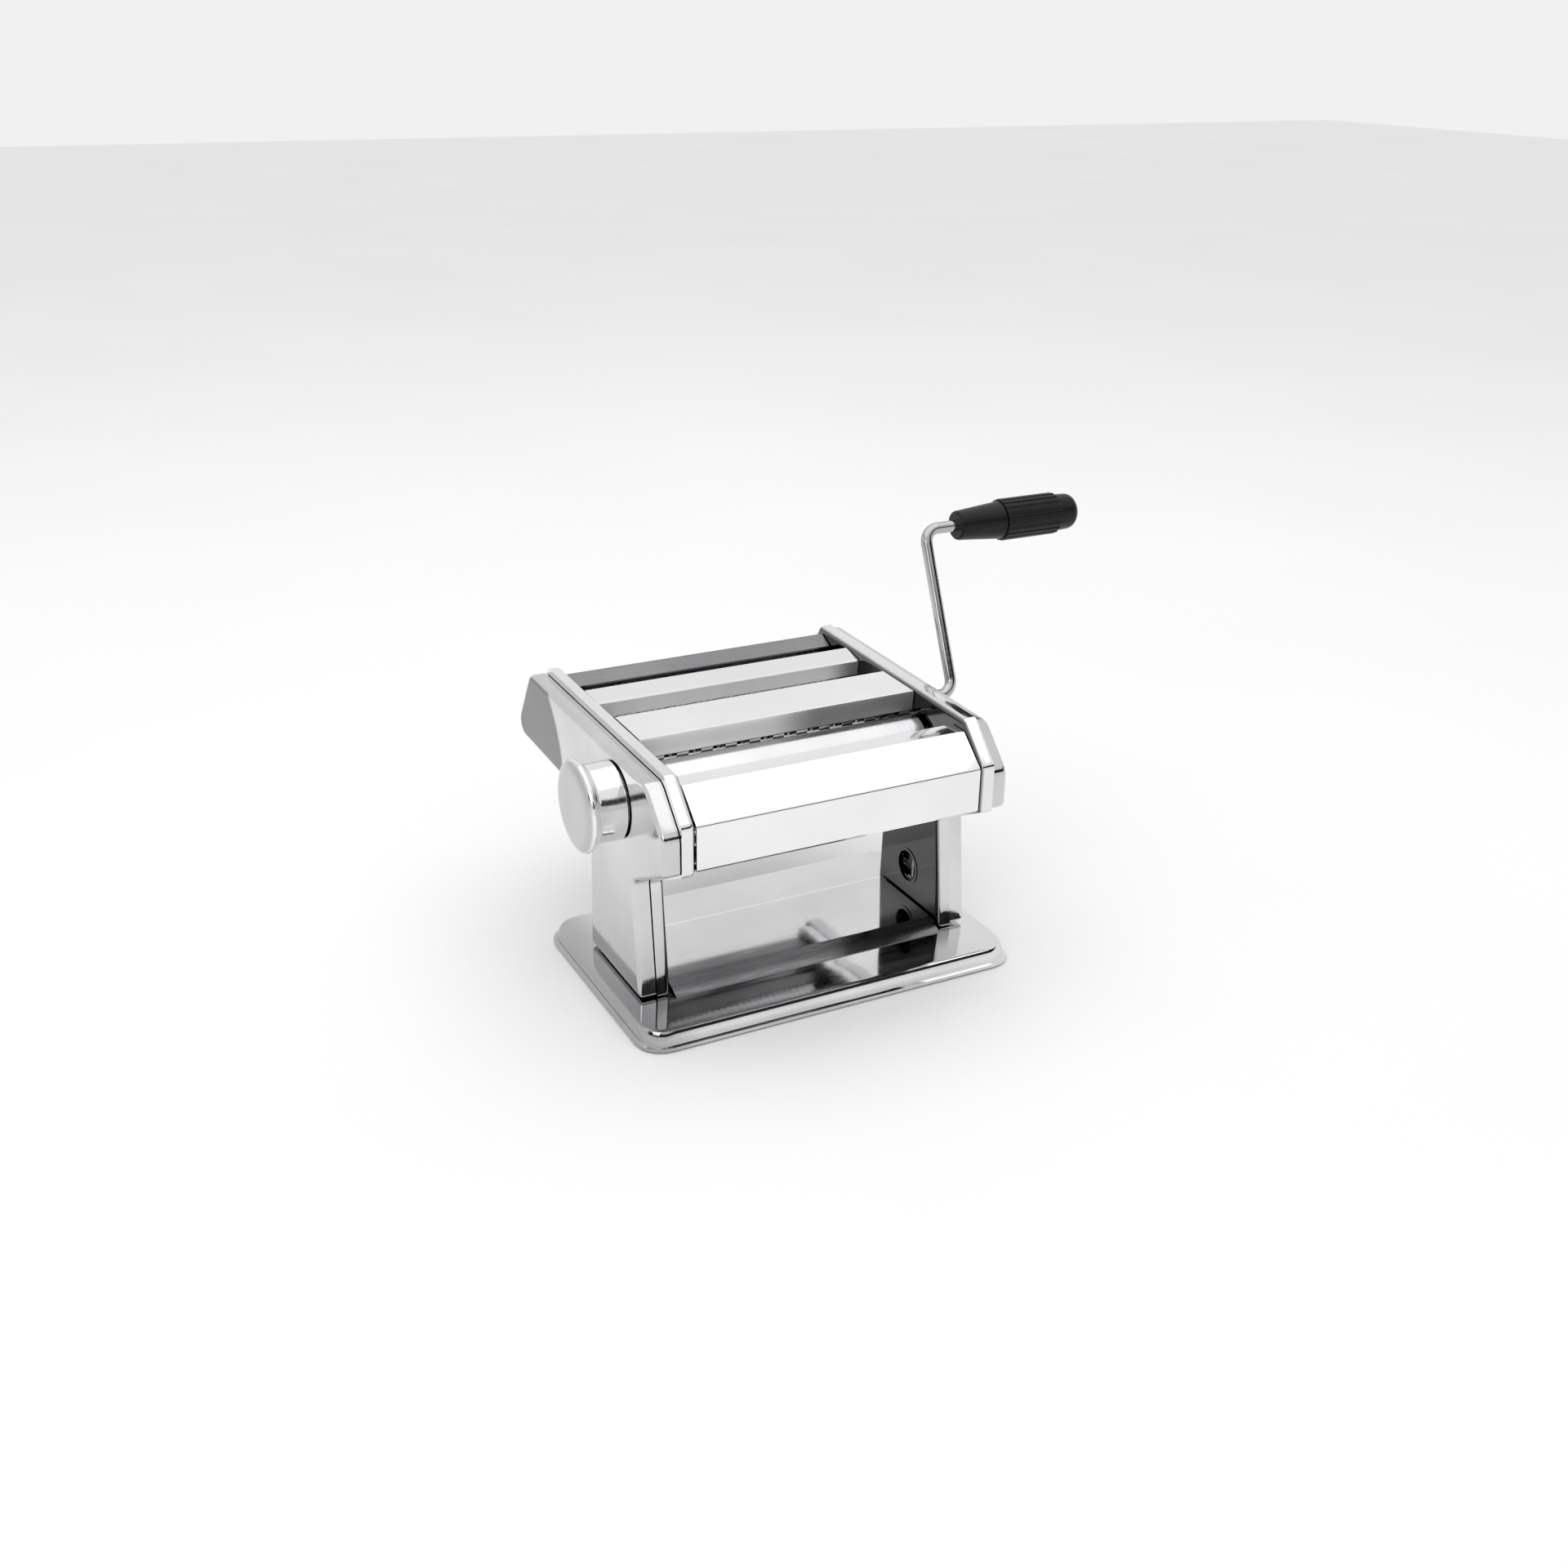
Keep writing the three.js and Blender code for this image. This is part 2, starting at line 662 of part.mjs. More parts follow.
function fineCutter(name, place, end) {
  const profile = [
    [LEFT_JOURNAL_END, 0],
    [LEFT_JOURNAL_END, CUTTER_JOURNAL],
    [-ROLLER_HALF, CUTTER_JOURNAL],
    [-ROLLER_HALF, FINE_MEAN],
    [ROLLER_HALF, FINE_MEAN],
    [ROLLER_HALF, CUTTER_JOURNAL],
    [end, CUTTER_JOURNAL],
    [end, 0],
  ];
  return meshFrom(name, turned(profile, ROUND_SIDES), rollerSteel, place);
}

function cutters() {
  return [
    wideCutter("wide_cutter_front", WIDE_FRONT, FIRST_DISC, WIDE_GEAR.to + STUB),
    wideCutter("wide_cutter_rear", WIDE_REAR, FIRST_DISC + WIDE_PITCH / 2, WIDE_GEAR.to),
    fineCutter("fine_cutter_front", FINE_FRONT, FINE_GEAR.to),
    fineCutter("fine_cutter_rear", FINE_REAR, FINE_GEAR.to + STUB - 0.6),
  ];
}

// ---------- Scrapers and combs ----------

function scrapers() {
  const front = [[-46, 95.6], [-37.2, 94.8], [-37.4, 95.9], [-46, 96.8]];
  const rear = [[3, 91.2], [4, 91.9], [-6.4, 93.7], [-6.4, 92.7]];
  const outline = (list) => list.map(([y, z]) => point(y, z));
  return [
    acrossFrames("fixed_roller_scraper", outline(front), greySteel),
    acrossFrames("adjustable_roller_scraper", outline(rear), greySteel),
  ];
}

// A strip beside the underside of a wide cutter, with a finger in each of its grooves.
function wideComb(name, axis, away, firstFinger) {
  const STRIP = { near: 10.2, far: 14, low: -10.4, high: -9.2 };
  const FINGER = { tip: 3.2, low: -9.6, high: -8.4, half: 2.6 };
  const across = (a, b) => [axis.y + away * a, axis.y + away * b].sort((p, q) => p - q);
  const heights = ({ low, high }) => [axis.z + low, axis.z + high];
  const length = [-PANEL_HALF, PANEL_HALF];
  let comb = box(length, across(STRIP.near, STRIP.far), heights(STRIP));
  for (let x = firstFinger; x < ROLLER_HALF - FINGER.half; x += WIDE_PITCH) {
    const width = [x - FINGER.half, x + FINGER.half];
    comb = comb.add(box(width, across(FINGER.tip, STRIP.near + 1), heights(FINGER)));
  }
  return meshFrom(name, comb, greySteel);
}

// A slanting strip whose upper edge lies just under a fine cutter.
function fineComb(name, axis, away) {
  const slant = [[1.3, -9.8], [1.9, -9], [8.6, -12.8], [8, -13.7]];
  return acrossFrames(name, slant.map(([y, z]) => point(axis.y + away * y, axis.z + z)), greySteel);
}

const combs = () => [
  wideComb("wide_front_comb", WIDE_FRONT, -1, FIRST_DISC + WIDE_PITCH / 2),
  wideComb("wide_rear_comb", WIDE_REAR, 1, FIRST_DISC),
  fineComb("fine_front_comb", FINE_FRONT, -1),
  fineComb("fine_rear_comb", FINE_REAR, 1),
];

// ---------- Thickness regulator ----------

// A block that carries the hollow journal beside the frame, and a yoke over the gear that
// reaches round the cam. It is the same on both sides.
function bearingBlock(name, side) {
  const [blockIn, blockOut] = [78.6, 81];
  const [yokeIn, yokeOut] = [87.4, 89.4];
  const FRONT = -21.5;
  const REAR = 8.5;
  const BOTTOM = 95.5;
  const ARM_LOW = 125.6;
  const TOP = 128.8;
  const x = (a, b) => [side * a, side * b].sort((p, q) => p - q);
  const block = box(x(blockIn, blockOut), [FRONT, REAR], [BOTTOM, TOP]);
  const arm = box(x(blockOut - 0.5, yokeIn + 0.5), [-14, 1], [ARM_LOW, TOP]);
  const plate = box(x(yokeIn, yokeOut), [FRONT, REAR], [BOTTOM, TOP]);
  const NOSE = { long: 1.2, half: 2 };
  const noseTip = REGULATOR_AXIS.y - CAM_RADIUS - GAP;
  const window = box(
    x(yokeIn - 1, yokeOut + 1),
    [noseTip - NOSE.long, REGULATOR_AXIS.y + CAM_RADIUS + 2 * GAP_TRAVEL + 0.4],
    [REGULATOR_AXIS.z - 11.4, REGULATOR_AXIS.z + 11.4],
  );
  const nose = box(
    x(yokeIn, yokeOut),
    [FRONT + 1, noseTip],
    [REGULATOR_AXIS.z - NOSE.half, REGULATOR_AXIS.z + NOSE.half],
  );
  const bore = rod(
    HOLLOW_JOURNAL + 0.4,
    side * (blockIn - 1),
    side * (blockOut + 1),
    ROUND_SIDES,
    MOVING_AXIS,
  );
  const yoke = plate.subtract(window).add(nose);
  return meshFrom(name, block.subtract(bore).add(arm).add(yoke), gearSteel);
}

// A snail cam: its radius grows evenly over the regulator's whole turn, then drops back.
function snailCam(name, side) {
  const STEPS = 36;
  const outline = Array.from({ length: STEPS + 1 }, (_, k) => {
    const turn = (REGULATOR_TURN * k) / STEPS;
    const radius = CAM_RADIUS + (GAP_TRAVEL * k) / STEPS;
    return point(radius * Math.cos(Math.PI - turn), radius * Math.sin(Math.PI - turn));
  });
  const [inner, outer] = [87.7, 89.1];
  const blank = prism(outline, side * inner, side * outer);
  const bore = rod(REGULATOR_RADIUS + GAP, side * (inner - 1), side * (outer + 1), SMALL_SIDES);
  const bored = blank.subtract(bore);
  return meshFrom(name, bored, gearSteel, REGULATOR_AXIS);
}

function regulator() {
  const HEAD = { radius: 8, from: -112.6, to: -111.3 };
  const RIGHT_END = 91.8;
  const shaft = turned(
    [
      [HEAD.from, 0],
      [HEAD.from, HEAD.radius],
      [HEAD.to, HEAD.radius],
      [HEAD.to, REGULATOR_RADIUS],
      [RIGHT_END, REGULATOR_RADIUS],
      [RIGHT_END, 0],
    ],
    SMALL_SIDES,
  );
  const leftBush = tube(REGULATOR_HOLE - GAP, REGULATOR_RADIUS + 0.4, -96.2, -90.2, ROUND_SIDES);
  const rightBush = tube(8, REGULATOR_RADIUS + 0.4, 90.3, 92.1, ROUND_SIDES);
  return [
    meshFrom("regulator_shaft", shaft, gearSteel, REGULATOR_AXIS),
    snailCam("left_cam", KNOB_SIDE),
    snailCam("right_cam", CRANK_SIDE),
    meshFrom("left_regulator_bush", leftBush, bushPlastic, REGULATOR_AXIS),
    meshFrom("right_regulator_bush", rightBush, bushPlastic, REGULATOR_AXIS),
  ];
}

// A ring with ten holes on the cover, one for each thickness.
function indexPlate() {
  const STATIONS = 10;
  const HOLE_CIRCLE = 13;
  const HOLE_RADIUS = 1.9;
  const [outer, inner] = [-COVER_FACE - GAP - 1.2, -COVER_FACE - GAP];
  let plate = tube(17, REGULATOR_HOLE + GAP, outer, inner, ROUND_SIDES);
  for (let k = 0; k < STATIONS; k += 1) {
    const angle = (2 * Math.PI * k) / STATIONS;
    const place = point(HOLE_CIRCLE * Math.cos(angle), HOLE_CIRCLE * Math.sin(angle));
    const axis = { y: place.x, z: place.y };
    plate = plate.subtract(rod(HOLE_RADIUS, outer - 1, inner + 1, 8, axis));
  }
  return meshFrom("index_plate", plate, gearSteel, REGULATOR_AXIS);
}

function knob() {
  const WALL = 1.2;
  const inside = KNOB_NECK - WALL;
  const back = KNOB_FRONT + 1.4;
  const shell = turned(
    [
      [KNOB_FRONT + 0.4, 0],
      [KNOB_FRONT, 17.2],
      [KNOB_FRONT + 0.5, 20.6],
      [KNOB_FRONT + 1.8, 22.4],
      [KNOB_FRONT + 3.2, KNOB_RIM],
      [KNOB_FRONT + 4.8, 22.4],
      [KNOB_FRONT + 5.6, 20.4],
      [KNOB_FRONT + 7.4, KNOB_NECK],
      [KNOB_OPEN, KNOB_NECK],
      [KNOB_OPEN, inside],
      [back, inside],
      [back, 0],
    ],
    32,
  );
  const SEAT = -104.2;
  const core = turned(
    [
      [-100.5, REGULATOR_RADIUS + 0.4],
      [SEAT, REGULATOR_RADIUS + 0.4],
      [SEAT, 8.8],
      [back + GAP, 8.8],
      [back + GAP, inside - GAP],
      [-100.5, inside - GAP],
      [-100.5, REGULATOR_RADIUS + 0.4],
    ],
    ROUND_SIDES,
  );
  const pin = rod(1.4, -95.4, -100.2, 12, { y: 13, z: 0 });
  return [
    meshFrom("knob_shell", shell, mirrorSteel, REGULATOR_AXIS),
    meshFrom("knob_core", core, blackPlastic, REGULATOR_AXIS),
    meshFrom("index_pin", pin, gearSteel, REGULATOR_AXIS),
    knobSpring(),
  ];
}

class Helix extends THREE.Curve {
  constructor(radius, from, to, turns) {
    super();
    Object.assign(this, { radius, from, to, turns });
  }

  getPoint(t, target = new THREE.Vector3()) {
    const angle = 2 * Math.PI * this.turns * t;
    const x = this.from + (this.to - this.from) * t;
    return target.set(x, this.radius * Math.cos(angle), this.radius * Math.sin(angle));
  }
}

function knobSpring() {
  const TURNS = 4;
  const STEPS_PER_TURN = 10;
  const extrudePath = new Helix(6.6, -105.1, -110.5, TURNS);
  const wire = new THREE.ExtrudeGeometry(new THREE.Shape(circle(0.45, 6)), {
    steps: TURNS * STEPS_PER_TURN,
    extrudePath,
  });
  return meshFrom("knob_spring", solidFrom(wire), crankSteel, REGULATOR_AXIS);
}

// ---------- Crank ----------

// The crank lies in one plane. A station on it has an x, a distance along the leaning arm and
// the heading of the rod: 0 along X, a quarter turn along the arm.
function crankStation(p, { x, along, heading }) {
  const up = along + p.x * Math.cos(heading);
  return new THREE.Vector3(
    x - p.x * Math.sin(heading),
    WIDE_FRONT.y + up * Math.sin(CRANK_LEAN) - p.y * Math.cos(CRANK_LEAN),
    WIDE_FRONT.z + up * Math.cos(CRANK_LEAN) + p.y * Math.sin(CRANK_LEAN),
  );
}

function crankRod() {
  const STEPS = 4;
  const QUARTER = Math.PI / 2;
  const outline = circle(CRANK_ROD, 12);
  const bend = (x, along, side) =>
    Array.from({ length: STEPS + 1 }, (_, k) => {
      const heading = side > 0 ? (QUARTER * k) / STEPS : QUARTER - (QUARTER * k) / STEPS;
      return {
        x: x + side * CRANK_BEND * Math.sin(heading),
        along: along - side * CRANK_BEND * Math.cos(heading),
        heading,
      };
    });
  const stations = [
    { x: SOCKET_END + 0.6, along: 0, heading: 0 },
    ...bend(CRANK_PLANE - CRANK_BEND, CRANK_BEND, 1),
    ...bend(CRANK_PLANE + CRANK_BEND, CRANK_ARM - CRANK_BEND, -1),
    { x: SLEEVE_END - 2, along: CRANK_ARM, heading: 0 },
  ];
  const rodSolid = loft(stations.map((at) => ({ at, outline })), crankStation);
  const tip = [WIDE_GEAR.to + STUB + 2 * GAP, SOCKET_END + 1];
  const flats = box(
    tip,
    [WIDE_FRONT.y - CRANK_FLAT, WIDE_FRONT.y + CRANK_FLAT],
    [WIDE_FRONT.z - CRANK_ROD, WIDE_FRONT.z + CRANK_ROD],
  );
  const end = rod(CRANK_ROD, tip[0], tip[1], 12, WIDE_FRONT).intersect(flats);
  return meshFrom("crank_rod", rodSolid.add(end), crankSteel);
}

function grip() {
  const BORE = CRANK_ROD + 0.4;
  const NOSE_SMALL = 8.1;
  const NOSE_LARGE = 10.4;
  const FLUTES = 20;
  const SLEEVE_RADIUS = 11.6;
  const FLUTE_DEPTH = 0.7;
  const nose = turned(
    [
      [GRIP_START, BORE],
      [GRIP_START, NOSE_SMALL - 1.2],
      [GRIP_START + 1.2, NOSE_SMALL],
      [SLEEVE_START - GAP, NOSE_LARGE],
      [SLEEVE_START - GAP, BORE],
      [GRIP_START, BORE],
    ],
    ROUND_SIDES,
  );
  const outline = Array.from({ length: 2 * FLUTES }, (_, k) => {
    const angle = (Math.PI * k) / FLUTES;
    const radius = SLEEVE_RADIUS - (k % 2 ? FLUTE_DEPTH : 0);
    return point(radius * Math.cos(angle), radius * Math.sin(angle));
  });
  const bore = rod(BORE, SLEEVE_START - 1, SLEEVE_END + 1, SMALL_SIDES);
  const sleeve = prism(outline, SLEEVE_START, SLEEVE_END).subtract(bore);
  const CAP_RADIUS = 10.3;
  const cap = turned(
    [
      [SLEEVE_END + GAP, 0],
      [SLEEVE_END + GAP, CAP_RADIUS],
      [GRIP_END - 4.6, CAP_RADIUS - 0.4],
      [GRIP_END - 1.6, CAP_RADIUS - 2.4],
      [GRIP_END - 0.3, CAP_RADIUS - 5],
      [GRIP_END, 0],
    ],
    ROUND_SIDES,
  );
  return [
    meshFrom("grip_nose", nose, blackPlastic, GRIP_AXIS),
    meshFrom("grip_sleeve", sleeve, blackPlastic, GRIP_AXIS),
    meshFrom("grip_end_cap", cap, blackPlastic, GRIP_AXIS),
  ];
}

// ---------- The machine ----------

const machine = new THREE.Group();
machine.add(
  basePlate(),
  baseMat(),
  sideFrame("left_frame", KNOB_SIDE),
  sideFrame("right_frame", CRANK_SIDE),
  sideCover("left_cover", KNOB_SIDE),
  sideCover("right_cover", CRANK_SIDE),
  ...panels(),
  ...tieRods(),
  ...bushes(),
  ...smoothRollers(),
  ...cutters(),
  ...gears(),
  ...sockets(),
  ...scrapers(),
  ...combs(),
  bearingBlock("left_bearing_block", KNOB_SIDE),
  bearingBlock("right_bearing_block", CRANK_SIDE),
  ...regulator(),
  indexPlate(),
  ...knob(),
  crankRod(),
  ...grip(),
);

export default machine;
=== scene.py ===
import json
import math

import bmesh
import bpy
from mathutils import Matrix, Vector

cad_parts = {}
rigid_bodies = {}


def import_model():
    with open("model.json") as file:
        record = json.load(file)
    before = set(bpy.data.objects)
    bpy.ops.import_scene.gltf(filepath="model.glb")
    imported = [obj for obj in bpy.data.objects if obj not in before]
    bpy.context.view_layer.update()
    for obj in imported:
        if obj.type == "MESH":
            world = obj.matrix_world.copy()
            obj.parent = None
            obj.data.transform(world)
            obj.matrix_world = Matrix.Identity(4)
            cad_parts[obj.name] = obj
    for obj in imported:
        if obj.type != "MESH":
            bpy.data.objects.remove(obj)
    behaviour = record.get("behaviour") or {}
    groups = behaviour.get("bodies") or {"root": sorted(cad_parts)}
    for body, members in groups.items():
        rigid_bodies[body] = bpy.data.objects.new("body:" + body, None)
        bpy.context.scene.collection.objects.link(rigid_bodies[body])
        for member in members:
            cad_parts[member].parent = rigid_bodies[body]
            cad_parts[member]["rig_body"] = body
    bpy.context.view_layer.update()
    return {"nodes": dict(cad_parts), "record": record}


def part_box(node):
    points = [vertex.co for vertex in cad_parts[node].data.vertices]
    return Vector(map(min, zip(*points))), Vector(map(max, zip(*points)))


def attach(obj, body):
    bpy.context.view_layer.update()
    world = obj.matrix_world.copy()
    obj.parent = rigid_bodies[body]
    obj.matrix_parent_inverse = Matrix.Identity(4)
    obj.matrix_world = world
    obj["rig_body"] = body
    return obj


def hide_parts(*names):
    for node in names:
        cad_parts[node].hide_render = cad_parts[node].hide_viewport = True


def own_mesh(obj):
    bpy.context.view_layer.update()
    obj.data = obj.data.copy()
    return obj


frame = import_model()
NODES = frame["nodes"]
MM = 0.001

# ---------- Camera ----------
# Where the photograph was taken from, in metres, and the directions of its right and its top.
CAMERA_PLACE = Vector((-0.37366, -0.71953, 0.45440))
CAMERA_RIGHT = Vector((0.88883, -0.45809, 0.01185))
CAMERA_UP = Vector((0.17598, 0.36512, 0.91418))
LENS = 40.18
SENSOR = 36


def make_camera():
    data = bpy.data.cameras.new("camera")
    data.lens = LENS
    data.sensor_width = SENSOR
    data.clip_start = 0.01
    data.clip_end = 50
    camera = bpy.data.objects.new("camera", data)
    bpy.context.scene.collection.objects.link(camera)
    right = CAMERA_RIGHT.normalized()
    up = (CAMERA_UP - right * CAMERA_UP.dot(right)).normalized()
    back = right.cross(up)
    turn = Matrix((right, up, back)).transposed().to_4x4()
    camera.matrix_world = Matrix.Translation(CAMERA_PLACE) @ turn
    bpy.context.scene.camera = camera


make_camera()


# ---------- Materials ----------
class Shader:
    """A principled material whose noise runs in the object's own coordinates, in metres."""

    def __init__(self, name, metallic=0.0):
        self.material = bpy.data.materials.new(name)
        self.material.use_nodes = True
        self.tree = self.material.node_tree
        self.bsdf = self.tree.nodes["Principled BSDF"]
        self.bsdf.inputs["Metallic"].default_value = metallic
        self.place = self.tree.nodes.new("ShaderNodeTexCoord").outputs["Object"]

    def link(self, a, b):
        self.tree.links.new(a, b)

    def stretch(self, scale):
        mapping = self.tree.nodes.new("ShaderNodeMapping")
        mapping.inputs["Scale"].default_value = scale
        self.link(self.place, mapping.inputs["Vector"])
        return mapping.outputs["Vector"]

    def noise(self, scale, detail=3.0, roughness=0.5, vector=None):
        node = self.tree.nodes.new("ShaderNodeTexNoise")
        node.inputs["Scale"].default_value = scale
        node.inputs["Detail"].default_value = detail
        node.inputs["Roughness"].default_value = roughness
        self.link(vector or self.place, node.inputs["Vector"])
        return node.outputs["Fac"]

    def math(self, operation, a, b=0.5):
        node = self.tree.nodes.new("ShaderNodeMath")
        node.operation = operation
        for socket, value in zip(node.inputs, (a, b)):
            if isinstance(value, (int, float)):
                socket.default_value = value
            else:
                self.link(value, socket)
        return node.outputs["Value"]

    def spread(self, value, low, high, start=0.3, end=0.7):
        """value, from start to end, as a number from low to high."""
        node = self.tree.nodes.new("ShaderNodeMapRange")
        node.interpolation_type = "SMOOTHSTEP"
        node.inputs["From Min"].default_value = start
        node.inputs["From Max"].default_value = end
        node.inputs["To Min"].default_value = low
        node.inputs["To Max"].default_value = high
        self.link(value, node.inputs["Value"])
        return node.outputs["Result"]

    def colours(self, value, low, high, start=0.3, end=0.7):
        ramp = self.tree.nodes.new("ShaderNodeValToRGB")
        ramp.color_ramp.elements[0].position = start
        ramp.color_ramp.elements[0].color = (*low, 1)
        ramp.color_ramp.elements[1].position = end
        ramp.color_ramp.elements[1].color = (*high, 1)
        self.link(value, ramp.inputs["Fac"])
        return ramp.outputs["Color"]

    def axis(self, index):
        """One coordinate: 0 is X, 1 is Y and 2 is Z."""
        split = self.tree.nodes.new("ShaderNodeSeparateXYZ")
        self.link(self.place, split.inputs["Vector"])
        return split.outputs[index]

    def bump(self, height, strength, distance):
        node = self.tree.nodes.new("ShaderNodeBump")
        node.inputs["Strength"].default_value = strength
        node.inputs["Distance"].default_value = distance
        self.link(height, node.inputs["Height"])
        self.link(node.outputs["Normal"], self.bsdf.inputs["Normal"])

    def colour(self, socket):
        self.link(socket, self.bsdf.inputs["Base Color"])

    def roughness(self, socket):
        self.link(socket, self.bsdf.inputs["Roughness"])


X, Y, Z, REAR_CURVE = 0, 1, 2, 3

# The left cover's outer face is painted dark behind a bowed line, a painted reflection of the dark room; the
# line stands furthest forward at BOW_HEIGHT.
# The painted dark fades out between LEFT_FACE and LEFT_FACE_END along X. These are in metres.
BOW_HEIGHT = 0.094
BOW_BEND = 13.0
LEFT_FACE, LEFT_FACE_END = -0.0934, -0.0922

# Noise scales that draw the fine rubbing lines along one axis, or round a turned part.
LINES_ALONG_X = (60, 900, 900)
LINES_ALONG_Y = (900, 120, 900)
LINES_ALONG_Z = (900, 900, 90)
LINES_ROUND_KNOB = (900, 200, 200)
LINES_ROUND_ROLLER = (1200, 60, 60)

CLOUD_SCALE = 14
SMUDGE_SCALE = 55
SMUDGE_STRENGTH = 0.35
WAVE_SCALE = 9
SHEET_WAVE = 0.00002
LINE_DEPTH = 0.02
STEEL_BUMP = 0.4


def painted_rear_reflection(shader, start, end, tone):
    """A factor that goes from 1 to tone behind the bowed line, on the left cover's outer face only: a
    painted reflection of the dark room.
    """
    height = shader.math("SUBTRACT", shader.axis(Z), BOW_HEIGHT)
    bow = shader.math("MULTIPLY", shader.math("MULTIPLY", height, height), BOW_BEND)
    along = shader.math("SUBTRACT", shader.axis(Y), bow)
    behind = shader.spread(along, 0, 1, start, end)
    on_face = shader.spread(shader.axis(X), 1, 0, LEFT_FACE, LEFT_FACE_END)
    deep = shader.math("MULTIPLY", behind, on_face)
    return shader.math("SUBTRACT", 1, shader.math("MULTIPLY", deep, 1 - tone))


def steel(name, dark, light, smooth, rough, grain=LINES_ALONG_X, wave=SHEET_WAVE, zones=(), metallic=1.0):
    """Polished steel: cloudy tone, finger smudges, fine rubbing lines and a faint waviness of the sheet.

    Each zone, (axis, start, end, tone), is painted shade: it fades the colour to tone of itself as that
    coordinate goes from start to end. The axis REAR_CURVE stands for the distance behind the bowed line,
    whose dark is a painted reflection.
    """
    shader = Shader(name, metallic)
    cloud = shader.colours(shader.noise(CLOUD_SCALE, 4), dark, light)
    # Painted shade: each zone darkens the colour by where the surface lies.
    for index, start, end, tone in zones:
        if index == REAR_CURVE:
            fade = painted_rear_reflection(shader, start, end, tone)
        else:
            fade = shader.spread(shader.axis(index), 1, tone, start, end)
        scale = shader.tree.nodes.new("ShaderNodeVectorMath")
        scale.operation = "SCALE"
        shader.link(cloud, scale.inputs[0])
        shader.link(fade, scale.inputs["Scale"])
        cloud = scale.outputs["Vector"]
    shader.colour(cloud)
    smudges = shader.spread(shader.noise(SMUDGE_SCALE, 5, 0.6), 0, 1, 0.5, 0.78)
    lines = shader.noise(1, 2, 0.6, shader.stretch(grain))
    haze = shader.math("MULTIPLY", smudges, SMUDGE_STRENGTH * (rough - smooth))
    fine = shader.spread(lines, smooth, rough, 0.35, 0.75)
    shader.roughness(shader.math("ADD", fine, haze))
    height = shader.math("ADD", shader.noise(WAVE_SCALE, 2), shader.math("MULTIPLY", lines, LINE_DEPTH))
    shader.bump(height, STEEL_BUMP, wave)
    return shader.material


# In each steel: its name, the dark and the light tone of its clouds, and its least and greatest roughness.
# The zones are painted shade and painted reflections of the room in the steel, such as a dark rear on the
# left cover, dark inner walls of the legs, legs that darken towards the base, and dark right ends of the
# slot walls.
# Painted shade on the legs: darker below 85 mm and darker still at the foot.
LEG_PAINTED_SHADE = [(Z, 0.085, 0.060, 0.80), (Z, 0.026, 0.013, 0.55)]
MIRROR = steel("polished_steel", (0.82, 0.82, 0.83), (0.90, 0.90, 0.905), 0.045, 0.10)
# Painted reflection: on the left cover the colour is painted dark behind the bowed line.
COVER_STEEL = steel(
    "drawn_cover_steel", (0.56, 0.56, 0.57), (0.72, 0.72, 0.725), 0.07, 0.15,
    grain=LINES_ALONG_Y, wave=0.00006, zones=[(REAR_CURVE, 0.061, 0.065, 0.27)])
# Painted shade: each frame's inner web, inboard of 77.5 mm from the middle, is painted dark, darker on the
# right frame.
LEFT_FRAME_STEEL = steel(
    "left_frame_steel", (0.76, 0.76, 0.77), (0.86, 0.86, 0.865), 0.05, 0.11,
    grain=LINES_ALONG_Z, zones=[(X, -0.0790, -0.0775, 0.30)] + LEG_PAINTED_SHADE)
RIGHT_FRAME_STEEL = steel(
    "right_frame_steel", (0.76, 0.76, 0.77), (0.86, 0.86, 0.865), 0.05, 0.11,
    grain=LINES_ALONG_Z, zones=[(X, 0.0790, 0.0775, 0.16)] + LEG_PAINTED_SHADE)
# Painted reflection: the base's colour darkens towards its left end.
BASE_STEEL = steel(
    "base_steel", (0.64, 0.64, 0.65), (0.76, 0.76, 0.765), 0.05, 0.10,
    wave=0.00004, zones=[(X, -0.070, -0.100, 0.62)])
GREY_STEEL = steel("brushed_grey_steel", (0.17, 0.17, 0.175), (0.23, 0.23, 0.235), 0.30, 0.42)
# Painted shade: a dark copy of the base steel for the plateau's front slope, darker still towards the right.
PLATEAU_PAINTED_SHADE = steel(
    "plateau_front_painted_shade", (0.24, 0.24, 0.245), (0.32, 0.32, 0.325), 0.12, 0.20,
    zones=[(X, -0.02, 0.05, 0.5)])
# Painted light: a near-white, non-metallic copy of the steel stands in for the wall's lit sheen, with
# painted shade towards its right end.
MIDDLE_WALL_PAINTED_LIGHT = steel(
    "middle_slot_wall_painted_light", (0.90, 0.90, 0.90), (0.97, 0.97, 0.97), 0.40, 0.52,
    zones=[(X, 0.056, 0.074, 0.30)], metallic=0.0)
# Painted light: a near-white, barely metallic copy of the steel stands in for the wall's lit sheen, with
# painted shade towards its right end.
FRONT_WALL_PAINTED_LIGHT = steel(
    "front_slot_wall_painted_light", (0.84, 0.84, 0.84), (0.94, 0.94, 0.94), 0.28, 0.40,
    zones=[(X, -0.012, 0.022, 0.30)], metallic=0.2)
CENTRE_STEEL = steel("centre_panel_steel", (0.84, 0.84, 0.85), (0.92, 0.92, 0.925), 0.06, 0.12)
